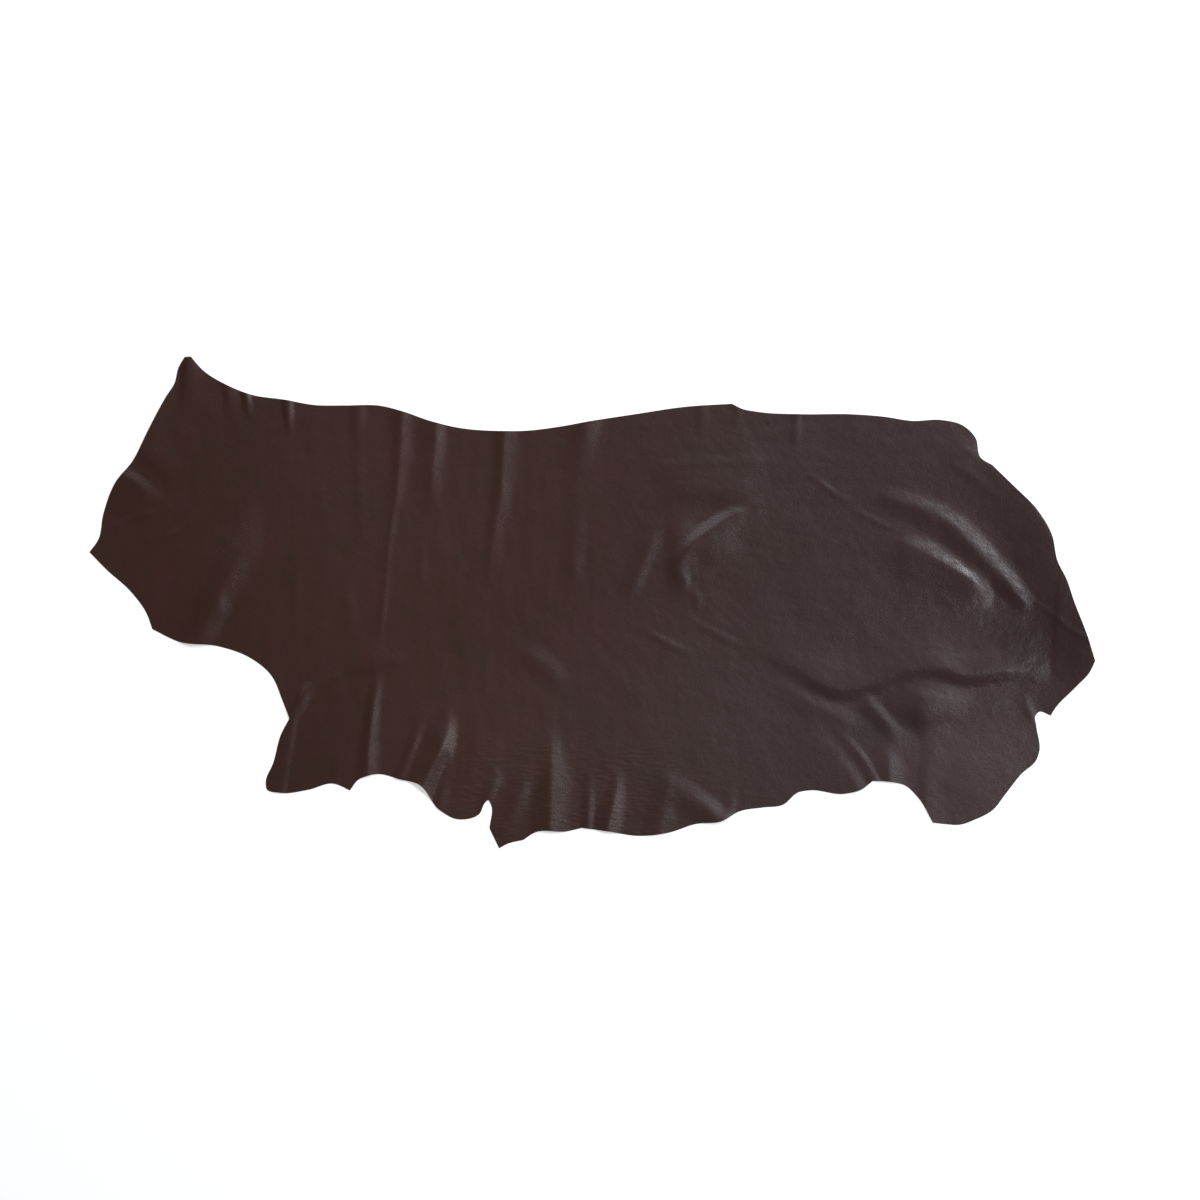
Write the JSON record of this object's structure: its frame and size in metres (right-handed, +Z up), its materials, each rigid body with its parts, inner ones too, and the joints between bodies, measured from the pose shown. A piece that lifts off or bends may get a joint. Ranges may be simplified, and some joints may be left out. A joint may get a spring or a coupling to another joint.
{
  "type": "leather hide",
  "caption": "Half hide of brown finished leather, a thin sheet with an irregular cut edge that lies on a surface in soft folds.",
  "frame": {"origin": "on the surface the hide lies on, under the middle of its box", "axes": "+X along the backbone edge from the neck to the butt, +Y from the belly to the backbone, +Z up out of the grain side"},
  "size_m": [2.412, 1.18, 0.0125],
  "materials": {
    "leather": "dark chocolate-brown finished leather, smooth grain side with a satin gloss and a fine pebble"
  },
  "bodies": {
    "root": {"hide": "leather"}
  },
  "joints": []
}
